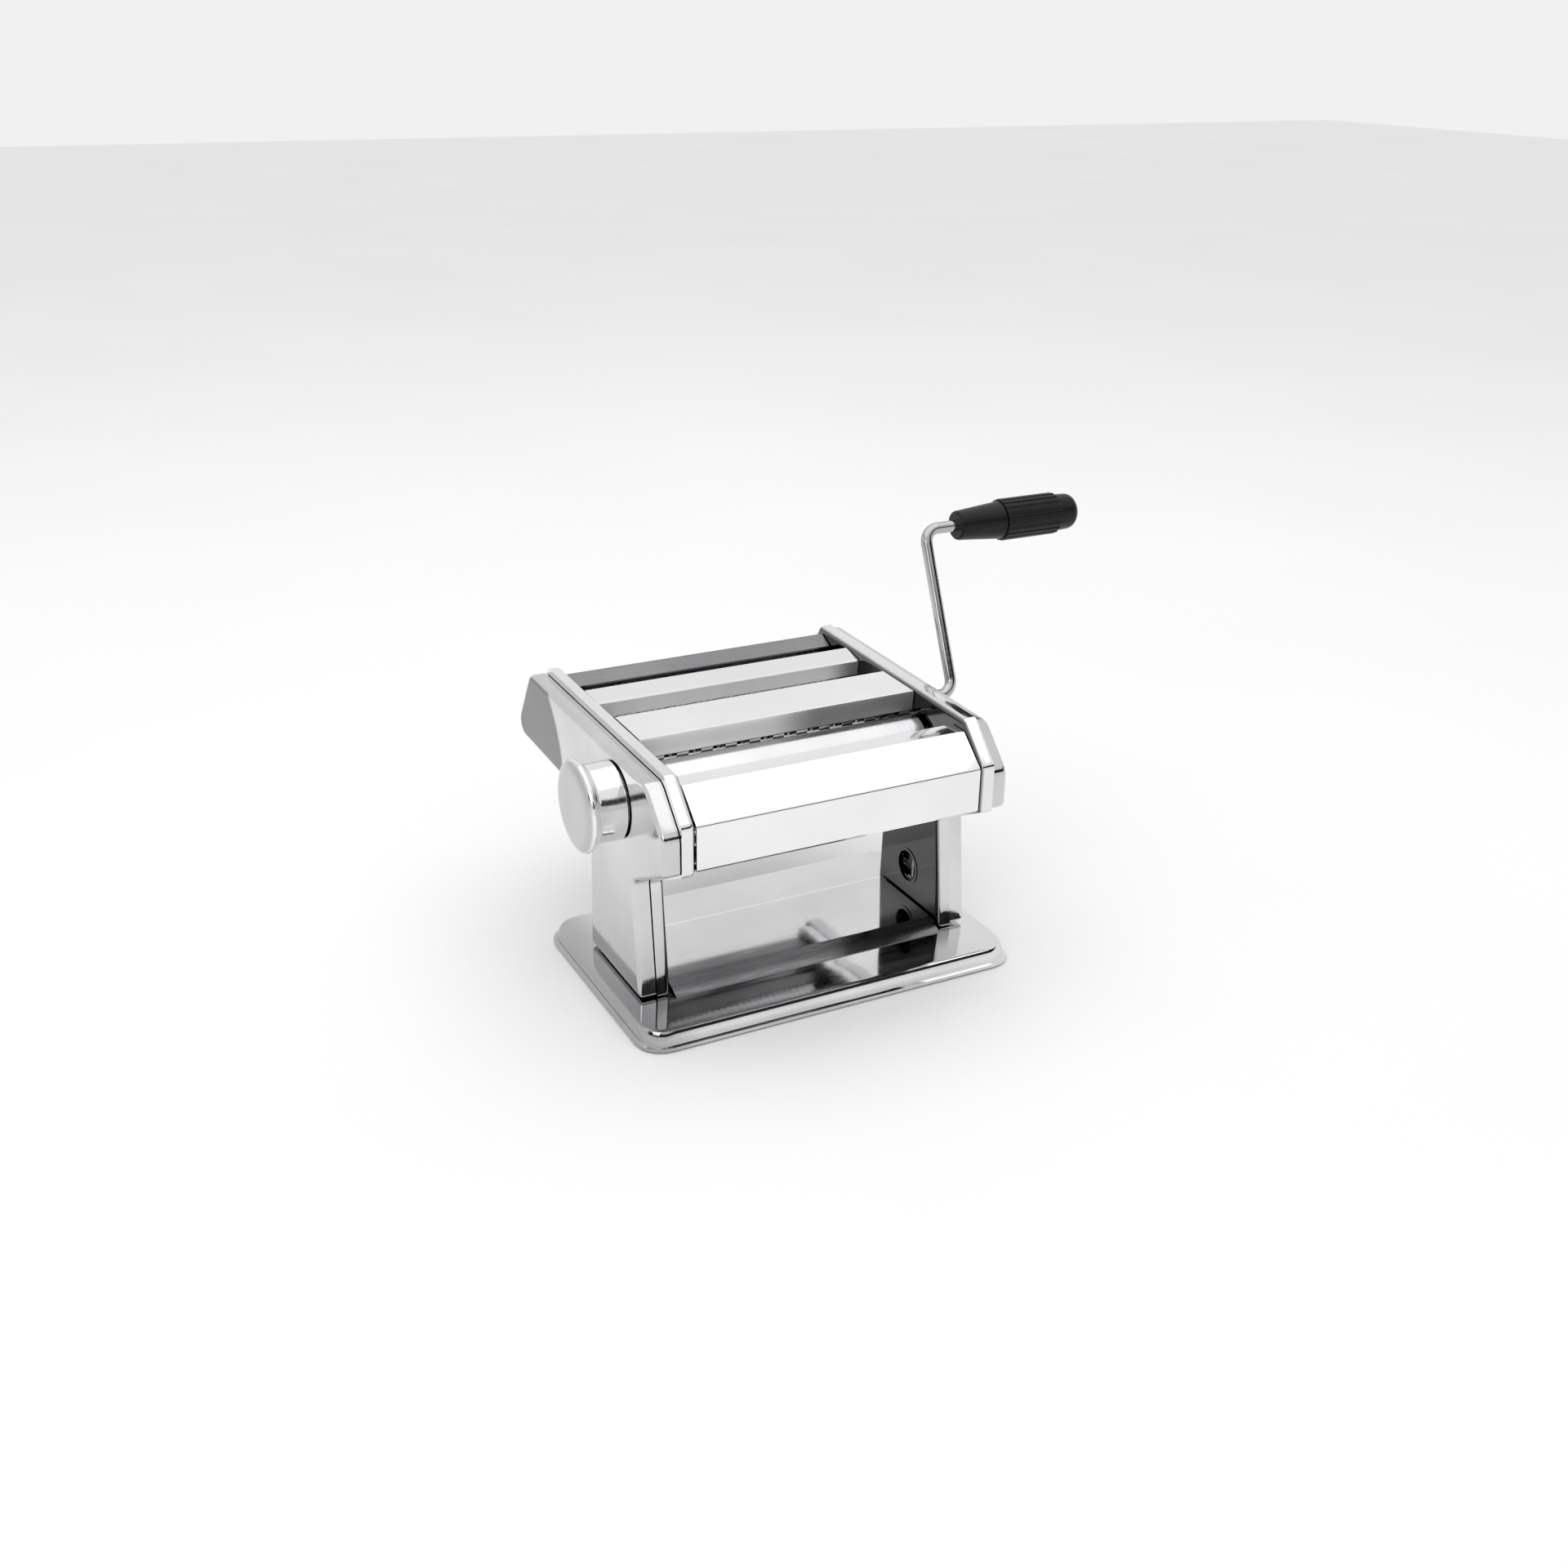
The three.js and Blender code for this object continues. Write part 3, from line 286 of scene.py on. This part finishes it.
# Painted shade: the knob's flat front face is painted darker than its rim.
KNOB_STEEL = steel(
    "turned_knob_steel", (0.80, 0.80, 0.81), (0.88, 0.88, 0.885), 0.10, 0.18,
    grain=LINES_ROUND_KNOB, zones=[(X, -0.1125, -0.1138, 0.60)])
ROLLER = steel(
    "ground_roller_steel", (0.56, 0.56, 0.57), (0.70, 0.70, 0.71), 0.16, 0.26,
    grain=LINES_ROUND_ROLLER)
GEAR = steel("oiled_gear_steel", (0.30, 0.30, 0.31), (0.42, 0.42, 0.43), 0.28, 0.42)
CRANK = steel("plated_crank_steel", (0.34, 0.34, 0.35), (0.62, 0.62, 0.63), 0.10, 0.18)

PLASTIC_BUMP = 0.25
PLASTIC_DEPTH = 0.00006
PLASTIC_WEAR = 0.12
GRIP_SHINE = 0.22


def dark_plastic(name, tone, smooth, rough, grain):
    """Moulded plastic or rubber: a dark grey tone, a fine grain and duller worn patches."""
    shader = Shader(name)
    darkest = (tone * 0.8,) * 3
    palest = (tone * 1.3,) * 3
    shader.colour(shader.colours(shader.noise(120, 4), darkest, palest))
    fine = shader.noise(grain, 3, 0.6)
    worn = shader.spread(shader.noise(40, 4, 0.6), 0, PLASTIC_WEAR, 0.52, 0.75)
    shader.roughness(shader.math("ADD", shader.spread(fine, smooth, rough), worn))
    shader.bump(fine, PLASTIC_BUMP, PLASTIC_DEPTH)
    return shader.material


BLACK = dark_plastic("grip_plastic", 0.006, 0.26, 0.38, 900)
BLACK.node_tree.nodes["Principled BSDF"].inputs["Specular IOR Level"].default_value = GRIP_SHINE
RUBBER = dark_plastic("base_rubber", 0.03, 0.6, 0.75, 1400)
BUSH = dark_plastic("bush_plastic", 0.05, 0.38, 0.5, 1100)

SLOT_LOOKS = {
    "mirror_steel": MIRROR,
    "grey_steel": GREY_STEEL,
    "roller_steel": ROLLER,
    "gear_steel": GEAR,
    "crank_steel": CRANK,
    "black_plastic": BLACK,
    "base_rubber": RUBBER,
    "bush_plastic": BUSH,
}
SLOT_OF = {s["node"]: s["material_slot"] for s in frame["record"]["subparts"]}
NODE_LOOKS = {
    "left_cover": COVER_STEEL,
    "right_cover": COVER_STEEL,
    "left_frame": LEFT_FRAME_STEEL,
    "right_frame": RIGHT_FRAME_STEEL,
    "centre_panel": CENTRE_STEEL,
    "knob_shell": KNOB_STEEL,
    "base_plate": BASE_STEEL,
}


def look_of(node):
    """The material of a node: its own, or else the one of its slot."""
    return NODE_LOOKS.get(node) or SLOT_LOOKS[SLOT_OF[node]]


for name, node in NODES.items():
    node.data.materials.clear()
    node.data.materials.append(look_of(name))


# ---------- Mesh building ----------
def smooth_by_angle(mesh, degrees):
    """Smooth shading, except across edges where the faces turn by more than this."""
    build = bmesh.new()
    build.from_mesh(mesh)
    limit = math.radians(degrees)
    for face in build.faces:
        face.smooth = True
    for edge in build.edges:
        edge.smooth = not (len(edge.link_faces) == 2 and edge.calc_face_angle(0) > limit)
    build.to_mesh(mesh)
    build.free()


def add_piece(name, mesh, nodes, body, angle):
    """A finished piece that stands for the CAD nodes and moves with the body."""
    mesh.validate()
    smooth_by_angle(mesh, angle)
    piece = bpy.data.objects.new(name, mesh)
    bpy.context.scene.collection.objects.link(piece)
    mesh.materials.clear()
    mesh.materials.append(look_of(nodes[0]))
    weighted = piece.modifiers.new("weighted", "WEIGHTED_NORMAL")
    weighted.keep_sharp = True
    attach(piece, body)
    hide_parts(*nodes)
    return piece


# Points closer than SAME_POINT metres are merged, and faces that turn by less than FLAT_ENOUGH are joined.
SAME_POINT = 2e-6
FLAT_ENOUGH = math.radians(0.4)
SHARP_DEGREES = 34
ROUND_SEGMENTS = 3


def refined(node, width=0.0, angle=SHARP_DEGREES):
    """The CAD node's own shape, smooth where it is round. Sharp edges get a small round of that width."""
    build = bmesh.new()
    build.from_mesh(NODES[node].data)
    bmesh.ops.remove_doubles(build, verts=build.verts, dist=SAME_POINT)
    bmesh.ops.dissolve_limit(build, angle_limit=FLAT_ENOUGH, verts=build.verts, edges=build.edges)
    if width:
        sharp = [e for e in build.edges
                 if len(e.link_faces) == 2 and e.calc_face_angle(0) > math.radians(SHARP_DEGREES)]
        bmesh.ops.bevel(build, geom=sharp, offset=width, segments=ROUND_SEGMENTS, profile=0.5,
                        affect="EDGES", clamp_overlap=True)
    mesh = bpy.data.meshes.new(node + "_look")
    build.to_mesh(mesh)
    build.free()
    return add_piece(node + "_look", mesh, [node], NODES[node]["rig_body"], angle)


def middle(node):
    """A node's centre, seen along X, in metres."""
    corner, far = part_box(node)
    return (corner.y + far.y) / 2, (corner.z + far.z) / 2


def swept(name, rings):
    """A closed mesh through rings of the same number of points; its two ends are flat."""
    count = len(rings[0])
    vertices = [point for ring in rings for point in ring]
    faces = []
    for r in range(len(rings) - 1):
        for k in range(count):
            a, b = r * count + k, r * count + (k + 1) % count
            faces.append((a, b, b + count, a + count))
    faces.append(tuple(reversed(range(count))))
    faces.append(tuple(range((len(rings) - 1) * count, len(rings) * count)))
    mesh = bpy.data.meshes.new(name)
    mesh.from_pydata(vertices, [], faces)
    build = bmesh.new()
    build.from_mesh(mesh)
    bmesh.ops.recalc_face_normals(build, faces=build.faces)
    build.to_mesh(mesh)
    build.free()
    return mesh


def around(x, radius, centre, sides, shape=None):
    """One ring of points about an axis along X. shape(angle) scales the radius."""
    ring = []
    for k in range(sides):
        angle = 2 * math.pi * k / sides
        reach = radius * (shape(angle) if shape else 1)
        ring.append((x, centre[0] + reach * math.cos(angle), centre[1] + reach * math.sin(angle)))
    return ring


TURNED_DEGREES = 30


def turned(name, node, profile, sides, shape=None):
    """A lathe-turned piece in place of a node. profile holds (x, radius) in millimetres."""
    centre = middle(node)
    rings = [around(x * MM, r * MM, centre, sides, shape) for x, r in profile]
    return add_piece(name, swept(name, rings), [node], NODES[node]["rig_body"], TURNED_DEGREES)


def rounded_rod(x0, x1, radius, edge):
    """The profile of a plain rod with rounded rims, in millimetres."""
    steps = 5
    arc = [math.pi / 2 * k / steps for k in range(steps + 1)]
    rim = [(edge * (1 - math.sin(a)), radius - edge * (1 - math.cos(a))) for a in arc]
    start = [(x0 + inset, reach) for inset, reach in reversed(rim)]
    end = [(x1 - inset, reach) for inset, reach in rim]
    return start + end


def second_look(piece, look, low, high):
    """Gives the faces whose middle lies in the box, in metres, another look."""
    piece.data.materials.append(look)
    for face in piece.data.polygons:
        if all(a < c < b for a, c, b in zip(low, face.center, high)):
            face.material_index = 1


# The width of the round on each piece's sharp edges, in metres. Zero leaves its CAD shape as it is.
BROKEN_EDGES = {
    "front_panel": 0.0004,
    "centre_panel": 0.0004,
    "narrow_strip": 0.0004,
    "rear_panel": 0.0004,
    "wide_cutter_front": 0.00025,
    "wide_cutter_rear": 0.00025,
    "left_frame": 0,
    "right_frame": 0,
    "left_cover": 0,
    "right_cover": 0,
    "base_plate": 0,
    "fixed_roller_socket": 0,
    "fine_cutter_socket": 0,
    "wide_cutter_socket": 0,
    "fixed_roller": 0,
    "adjustable_roller": 0,
}

# The walls of two slots are duller than the tops of their panels and carry painted light, near-white with
# painted shade towards their right ends, and the plateau's front is painted darker as painted shade.
PAINTED_LIGHT_LOOKS = {
    "narrow_strip": (MIDDLE_WALL_PAINTED_LIGHT, (-1, -1, -1), (1, 0.0588, 0.1309)),
    "centre_panel": (FRONT_WALL_PAINTED_LIGHT, (-1, -1, -1), (1, 0.0012, 0.1325)),
    "base_plate": (PLATEAU_PAINTED_SHADE, (-0.0757, -0.0405, 0.0098), (0.0757, -0.0285, 0.0149)),
}
for node, width in BROKEN_EDGES.items():
    piece = refined(node, width)
    if node in PAINTED_LIGHT_LOOKS:
        second_look(piece, *PAINTED_LIGHT_LOOKS[node])


# ---------- Knob (sizes in millimetres) ----------
KNOB_SIDES = 128
KNOB_SKIRT = 0.6
NECK_DEPTH = 3.4


def make_knob():
    """The turned knob: a narrow neck, a rounded rim and an almost flat face."""
    corner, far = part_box("knob_shell")
    front = corner.x / MM
    back = far.x / MM + KNOB_SKIRT
    rim = (far.z - corner.z) / 2 / MM
    neck = rim - NECK_DEPTH
    profile = [
        (back, neck - 1.0), (back - 0.3, neck - 0.1), (back - 0.8, neck), (back - 5.0, neck),
        (back - 9.0, neck - 0.3), (front + 8.4, neck), (front + 7.4, neck + 0.1),
        (front + 6.6, neck + 0.5), (front + 5.8, neck + 1.5), (front + 5.0, rim - 0.8),
        (front + 4.2, rim - 0.2), (front + 3.3, rim - 0.01), (front + 2.5, rim - 0.3),
        (front + 1.7, rim - 0.9), (front + 1.0, rim - 1.9), (front + 0.45, rim - 3.2),
        (front + 0.12, rim - 4.8), (front + 0.03, rim - 5.8), (front + 0.03, rim - 12.0),
        (front + 0.25, 6.0), (front + 0.3, 0.5),
    ]
    turned("knob_shell_look", "knob_shell", profile, KNOB_SIDES)


make_knob()

SPRING_DEGREES = 60


def make_knob_spring():
    """The spring between the shaft's end and the core's seat, given a mesh of its own. The real spring
    shortens as the knob is pulled.
    """
    spring = refined("knob_spring", angle=SPRING_DEGREES)
    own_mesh(spring)


make_knob_spring()


# ---------- Fine cutters (sizes in millimetres) ----------
FINE_PITCH = 4.0
FINE_DISC = 2.0
FINE_HALF_LENGTH = 70.0
FINE_SHAFT = 4.0
FINE_SIDES = 48
SHAFT_INSET = 0.6
SHAFT_EDGE = 0.5
DISC_EDGE = 0.15
DISC_CLEAR = 0.05
GROOVE_DEPTH = 0.9


def make_fine_cutter(node, phase):
    """The row of thin discs and grooves that cuts the narrow noodles. phase shifts the discs along X."""
    corner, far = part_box(node)
    start, end = corner.x / MM, far.x / MM
    outside = (far.z - corner.z) / 2 / MM
    groove = outside - GROOVE_DEPTH
    disc = outside - DISC_CLEAR
    profile = [
        (start, FINE_SHAFT - SHAFT_EDGE),
        (start, FINE_SHAFT),
        (-FINE_HALF_LENGTH - SHAFT_INSET, FINE_SHAFT),
    ]
    x = phase - FINE_HALF_LENGTH
    while x + FINE_DISC <= FINE_HALF_LENGTH:
        profile += [
            (x, groove),
            (x + DISC_EDGE, disc),
            (x + FINE_DISC - DISC_EDGE, disc),
            (x + FINE_DISC, groove),
        ]
        x += FINE_PITCH
    profile += [
        (FINE_HALF_LENGTH + SHAFT_INSET, FINE_SHAFT),
        (end, FINE_SHAFT),
        (end, FINE_SHAFT - SHAFT_EDGE),
    ]
    turned(node + "_look", node, profile, FINE_SIDES)


make_fine_cutter("fine_cutter_front", 0.0)
make_fine_cutter("fine_cutter_rear", FINE_PITCH / 2)


# ---------- Crank (sizes in millimetres, but WIDE_AXIS in metres) ----------
WIDE_AXIS = middle("wide_cutter_socket")
ROD_RADIUS = 3.2
ROD_SIDES = 32
TIP_FLAT = 2.25
TIP_EDGE = 0.4
TIP_BEVEL = 0.5
TIP_CLEAR = 0.6
TIP_STEP = 0.05
ARM_LEAN = math.radians(24)
ARM_PLANE = 124.0
ARM_LENGTH = 90.4
ARM_BEND = 8.0
BEND_STEPS = 14
CRANK_DEGREES = 40


def crank_ring(x, along, heading, flat=ROD_RADIUS):
    """A ring across the rod. x and along are in millimetres, heading is the rod's turn away from X.

    flat is how far the two flats of the rod's tip stand from its axis.
    """
    ring = []
    for k in range(ROD_SIDES):
        angle = 2 * math.pi * k / ROD_SIDES
        u = ROD_RADIUS * math.cos(angle)
        v = ROD_RADIUS * math.sin(angle)
        up = along + u * math.cos(heading)
        y = up * math.sin(ARM_LEAN) - v * math.cos(ARM_LEAN)
        z = up * math.cos(ARM_LEAN) + v * math.sin(ARM_LEAN)
        if flat < ROD_RADIUS:
            y = max(-flat, min(flat, y))
        across = x - u * math.sin(heading)
        ring.append((across * MM, WIDE_AXIS[0] + y * MM, WIDE_AXIS[1] + z * MM))
    return ring


def make_crank_rod():
    """The bent rod, from its flattened tip in the socket to the far end under the grip."""
    corner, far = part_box("crank_rod")
    tip = corner.x / MM
    tip_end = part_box("wide_cutter_socket")[1].x / MM + TIP_CLEAR
    rings = [
        crank_ring(tip, 0, 0, TIP_FLAT - TIP_EDGE),
        crank_ring(tip + TIP_BEVEL, 0, 0, TIP_FLAT),
        crank_ring(tip_end, 0, 0, TIP_FLAT),
        crank_ring(tip_end + TIP_STEP, 0, 0),
        crank_ring(ARM_PLANE - ARM_BEND - TIP_BEVEL, 0, 0),
    ]
    turns = [math.pi / 2 * k / BEND_STEPS for k in range(BEND_STEPS + 1)]
    for heading in turns:
        x = ARM_PLANE - ARM_BEND + ARM_BEND * math.sin(heading)
        along = ARM_BEND - ARM_BEND * math.cos(heading)
        rings.append(crank_ring(x, along, heading))
    for heading in reversed(turns):
        x = ARM_PLANE + ARM_BEND - ARM_BEND * math.sin(heading)
        along = ARM_LENGTH - ARM_BEND + ARM_BEND * math.cos(heading)
        rings.append(crank_ring(x, along, heading))
    rings.append(crank_ring(far.x / MM, ARM_LENGTH, 0))
    mesh = swept("crank_rod_look", rings)
    add_piece("crank_rod_look", mesh, ["crank_rod"], "crank", CRANK_DEGREES)


make_crank_rod()


# ---------- Grip (sizes in millimetres) ----------
GRIP_SIDES = 96
NOSE_TAPER = 2.3
NOSE_STEPS = 8
NOSE_ROUND = 1.4
FLUTES = 20
FLUTE_DEPTH = 0.055
FLUTE_STEEPNESS = 1.1
FLUTE_SIDES = 400
SLEEVE_CLEAR = 0.02
SLEEVE_EDGE = 0.6
CAP_DOME = 5.2
CAP_DROP = 4.6
CAP_STEPS = 10
CAP_EASE = 0.3


def span(node):
    """A piece's start and end along X and its radius, in millimetres."""
    corner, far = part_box(node)
    return corner.x / MM, far.x / MM, (far.z - corner.z) / 2 / MM


def make_grip_nose():
    """A cone with a rounded tip that widens to the sleeve."""
    start, end, large = span("grip_nose")
    small = large - NOSE_TAPER
    length = end - start - 2.0
    profile = [
        (start, small - 1.4),
        (start + 0.2, small - 0.7),
        (start + 0.7, small - 0.2),
        (start + NOSE_ROUND, small),
    ]
    for k in range(1, NOSE_STEPS + 1):
        profile.append((start + NOSE_ROUND + length * k / NOSE_STEPS, small + NOSE_TAPER * k / NOSE_STEPS))
    profile += [(end - 0.2, large - 0.1), (end, large - 0.5)]
    turned("grip_nose_look", "grip_nose", profile, GRIP_SIDES)


def fluted(angle):
    """The sleeve's radius, as a share of its full radius: flat ribs with rounded grooves between them."""
    wave = math.cos(FLUTES * angle)
    return 1 - FLUTE_DEPTH * max(0.0, min(1.0, 0.5 - FLUTE_STEEPNESS * wave))


def make_grip_sleeve():
    """The fluted part that the hand holds."""
    start, end, radius = span("grip_sleeve")
    profile = rounded_rod(start, end, radius - SLEEVE_CLEAR, SLEEVE_EDGE)
    turned("grip_sleeve_look", "grip_sleeve", profile, FLUTE_SIDES, fluted)


def make_grip_end_cap():
    """A short rim and a domed end."""
    start, end, radius = span("grip_end_cap")
    dome = radius - CAP_EASE
    profile = [
        (start, radius - 0.4),
        (start + 0.2, radius - 0.05),
        (start + 0.5, radius),
        (end - CAP_DOME, dome),
    ]
    for k in range(1, CAP_STEPS + 1):
        turn = math.pi / 2 * k / CAP_STEPS
        profile.append((end - CAP_DOME * (1 - math.sin(turn)), dome - CAP_DROP * (1 - math.cos(turn))))
    profile.append((end, 1.0))
    turned("grip_end_cap_look", "grip_end_cap", profile, GRIP_SIDES)


make_grip_nose()
make_grip_sleeve()
make_grip_end_cap()


# ---------- Studio ----------
FLOOR_HALF = 6.0
FLOOR_DROP = 0.0002
FLOOR_ROUGHNESS = 0.9
FLOOR_SHINE = 0.1


def make_floor():
    """A pale table top, a hair below the mat."""
    mesh = bpy.data.meshes.new("floor")
    half = FLOOR_HALF
    corners = [(-half, -half, 0), (half, -half, 0), (half, half, 0), (-half, half, 0)]
    mesh.from_pydata(corners, [], [(0, 1, 2, 3)])
    floor = bpy.data.objects.new("floor", mesh)
    bpy.context.scene.collection.objects.link(floor)
    shader = Shader("pale_floor")
    shader.colour(shader.colours(shader.noise(3, 2), (0.93, 0.93, 0.93), (0.95, 0.95, 0.95)))
    shader.bsdf.inputs["Roughness"].default_value = FLOOR_ROUGHNESS
    shader.bsdf.inputs["Specular IOR Level"].default_value = FLOOR_SHINE
    mesh.materials.append(shader.material)
    floor.location.z = -FLOOR_DROP


def make_light(name, place, target, size, power):
    """A rectangular lamp that faces the target. Places and sizes are in metres, power in watts."""
    data = bpy.data.lights.new(name, "AREA")
    data.shape = "RECTANGLE"
    data.size, data.size_y = size
    data.energy = power
    light = bpy.data.objects.new(name, data)
    bpy.context.scene.collection.objects.link(light)
    light.location = place
    light.rotation_euler = (Vector(target) - Vector(place)).to_track_quat("-Z", "Y").to_euler()


ROOM_LIGHT = 0.88
BAND_DARKNESS = 0.82
# (direction, darkness) points. The direction runs from 0 to 1: from straight down to straight up in
# BAND_HEIGHTS, and from the camera's side of the room to the far side in BAND_SIDE.
BAND_HEIGHTS = [(0, 0), (0.57, 0), (0.60, 1), (0.70, 1), (0.74, 0), (1, 0)]
BAND_SIDE = [(0, 1), (0.40, 1), (0.48, 0), (1, 0)]


def make_world():
    """A pale room. Behind the camera it has a dark band above eye level, which round polished edges show."""
    world = bpy.data.worlds.new("room")
    bpy.context.scene.world = world
    world.use_nodes = True
    tree = world.node_tree
    background = tree.nodes["Background"]
    background.inputs["Color"].default_value = (1, 1, 1, 1)
    place = tree.nodes.new("ShaderNodeTexCoord").outputs["Generated"]
    split = tree.nodes.new("ShaderNodeSeparateXYZ")
    tree.links.new(place, split.inputs["Vector"])

    def fade(value, points):
        """A smooth curve through the points, for a value from -1 to 1 brought to the range 0 to 1."""
        ramp = tree.nodes.new("ShaderNodeFloatCurve")
        curve = ramp.mapping.curves[0]
        for spot, (x, y) in zip((curve.points[0], curve.points[-1]), (points[0], points[-1])):
            spot.location = (x, y)
        for x, y in points[1:-1]:
            curve.points.new(x, y)
        ramp.mapping.update()
        half = tree.nodes.new("ShaderNodeMath")
        half.operation = "MULTIPLY_ADD"
        half.inputs[1].default_value = 0.5
        half.inputs[2].default_value = 0.5
        tree.links.new(value, half.inputs[0])
        tree.links.new(half.outputs["Value"], ramp.inputs["Value"])
        return ramp.outputs["Value"]

    band = fade(split.outputs["Z"], BAND_HEIGHTS)
    behind = fade(split.outputs["Y"], BAND_SIDE)
    dark = tree.nodes.new("ShaderNodeMath")
    dark.operation = "MULTIPLY"
    tree.links.new(band, dark.inputs[0])
    tree.links.new(behind, dark.inputs[1])
    light = tree.nodes.new("ShaderNodeMath")
    light.operation = "MULTIPLY_ADD"
    light.inputs[1].default_value = -BAND_DARKNESS
    light.inputs[2].default_value = ROOM_LIGHT
    tree.links.new(dark.outputs["Value"], light.inputs[0])
    tree.links.new(light.outputs["Value"], background.inputs["Strength"])


make_floor()
make_world()
make_light("overhead", (0.0, 0.1, 1.5), (0, 0, 0), (2.0, 2.0), 8)
make_light("front_left", (-1.3, -1.0, 0.9), (0, 0, 0.08), (0.8, 0.8), 3)
bpy.context.scene.view_settings.view_transform = "Standard"
